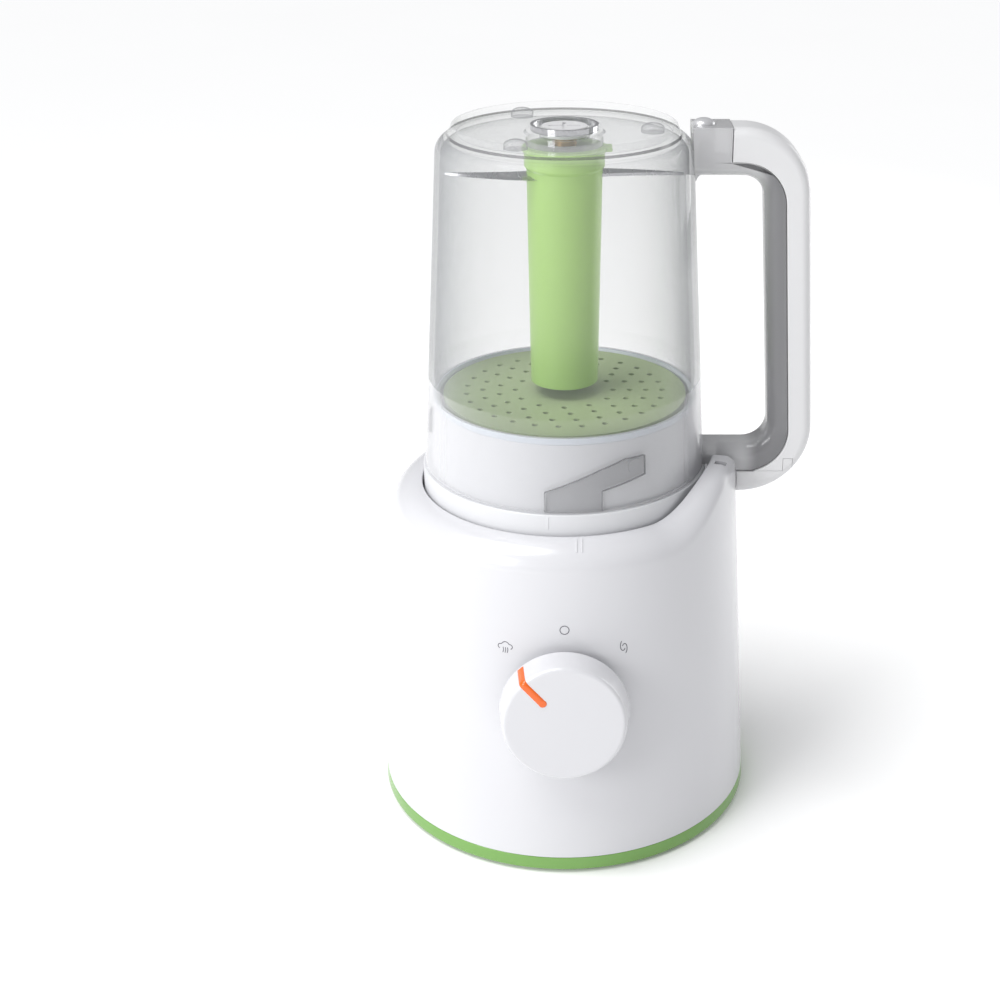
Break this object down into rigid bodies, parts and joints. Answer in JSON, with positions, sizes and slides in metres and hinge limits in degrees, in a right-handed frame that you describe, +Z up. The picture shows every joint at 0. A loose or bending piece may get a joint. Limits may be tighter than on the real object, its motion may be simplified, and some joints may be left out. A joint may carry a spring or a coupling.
{
  "type": "baby food maker",
  "caption": "Countertop steamer and blender for baby food: round white base with a knob, an upturned clear jar with a side handle, a green sieve and a blade tube.",
  "frame": {"origin": "on the surface the base stands on, below the common axis of the base and the jar", "axes": "+Z up along the jar's axis, the knob faces -Y, the handle points along +X"},
  "size_m": [0.1902, 0.1923, 0.3074],
  "materials": {
    "white_shell": "glossy moulded white plastic",
    "white_lid": "white moulded plastic, satin gloss",
    "inner_white": "plain white moulding",
    "green_ring": "glossy mid green",
    "green_part": "light green, slightly translucent",
    "clear_jar": "clear polished plastic",
    "grey_frame": "smoky translucent grey",
    "white_grip": "glossy white plastic",
    "pointer": "translucent orange",
    "black_plastic": "matt black",
    "grey_plastic": "matt dark grey",
    "rubber": "soft dark rubber",
    "silicone": "pale silicone",
    "steel": "brushed stainless steel",
    "chrome": "bright plated metal",
    "aluminium": "drawn aluminium",
    "lamination": "stacked motor iron",
    "copper": "enamelled copper wire",
    "bronze": "sintered bronze",
    "board": "green circuit board"
  },
  "bodies": {
    "base": {"base_housing": "white_shell", "base_ring": "green_ring", "base_plate": "grey_plastic", "rubber_feet": "rubber", "base_screws": "steel", "jar_seat": "inner_white", "seat_seals": "silicone", "steam_pipe": "steel", "boiler_tank": "aluminium", "tank_cover": "inner_white", "heating_element": "steel", "thermostat": "black_plastic", "motor_stator": "lamination", "motor_coils": "copper", "lower_bracket": "steel", "upper_bracket": "steel", "motor_bearings": "bronze", "motor_mounts": "rubber", "rotary_switch": "black_plastic", "cord_gland": "grey_plastic", "terminal_block": "inner_white", "control_board": "board", "lock_switch": "black_plastic", "plunger_spring": "steel"},
    "knob_unit": {"knob": "white_shell", "knob_pointer": "pointer", "knob_shaft": "steel"},
    "rotor_unit": {"rotor": "lamination", "motor_shaft": "steel", "cooling_fan": "black_plastic", "drive_coupling": "grey_plastic"},
    "plunger_unit": {"switch_plunger": "grey_plastic"},
    "lock_ring_unit": {"lock_ring": "inner_white"},
    "lid_unit": {"lid": "white_lid", "lid_seal": "silicone"},
    "sieve_unit": {"sieve": "green_part"},
    "jar_unit": {"jar": "clear_jar", "handle_frame": "grey_frame", "handle_grip": "white_grip", "handle_end_cap": "white_grip", "coupling_ring": "chrome", "shaft_bush": "bronze", "jar_feet": "clear_jar", "rod_spring": "steel"},
    "rod_unit": {"push_rod": "chrome"},
    "blade_unit": {"blade_hub": "green_part", "blades": "steel", "blade_shaft": "steel", "jar_coupling": "inner_white"},
    "cap_unit": {"cap_plug": "white_grip", "cap_seal": "silicone"},
    "cap_grip_unit": {"cap_grip": "white_grip"}
  },
  "joints": [
    {"name": "knob_turn", "type": "hinge", "parent": "base", "child": "knob_unit", "pos_m": [0, -0.0794, 0.0807], "axis": [0, 0.9983, -0.0588], "range_deg": [0, 84]},
    {"name": "motor_spin", "type": "hinge", "parent": "base", "child": "rotor_unit", "pos_m": [0, 0, 0.063], "axis": [0, 0, 1], "continuous": true},
    {"name": "switch_press", "type": "slide", "parent": "base", "child": "plunger_unit", "axis": [0, 0, 1], "range_m": [-0.003, 0], "stiffness_N_per_m": 150, "springref_m": 0.001, "deforming": ["plunger_spring"]},
    {"name": "seat_lock", "type": "hinge", "parent": "base", "child": "lock_ring_unit", "pos_m": [0, 0, 0.144], "axis": [0, 0, 1], "range_deg": [0, 20]},
    {"name": "lid_lift", "type": "slide", "parent": "lock_ring_unit", "child": "lid_unit", "axis": [0, 0, 1], "range_m": [0, 0.06]},
    {"name": "lid_turn", "type": "hinge", "parent": "lid_unit", "child": "sieve_unit", "pos_m": [0, 0, 0.19], "axis": [0, 0, 1], "range_deg": [0, 20]},
    {"name": "jar_rise", "type": "slide", "parent": "sieve_unit", "child": "jar_unit", "axis": [0, 0, 1], "range_m": [0, 0.0056]},
    {"name": "rod_push", "type": "slide", "parent": "jar_unit", "child": "rod_unit", "axis": [0, 0, 1], "range_m": [-0.0026, 0], "deforming": ["rod_spring"]},
    {"name": "blade_spin", "type": "hinge", "parent": "jar_unit", "child": "blade_unit", "pos_m": [0, 0, 0.285], "axis": [0, 0, 1], "continuous": true},
    {"name": "cap_pull", "type": "slide", "parent": "base", "child": "cap_unit", "axis": [0, 0.8192, 0.5736], "range_m": [0, 0.03]},
    {"name": "cap_turn", "type": "hinge", "parent": "cap_unit", "child": "cap_grip_unit", "pos_m": [0, 0.07685, 0.124], "axis": [0, 0.8192, 0.5736], "range_deg": [0, 60]}
  ],
  "couplings": [
    {"joint": "jar_rise", "follows": "lid_turn", "m_per_rad": 0.015756},
    {"joint": "rod_push", "follows": "lid_turn", "m_per_rad": -0.007162}
  ]
}
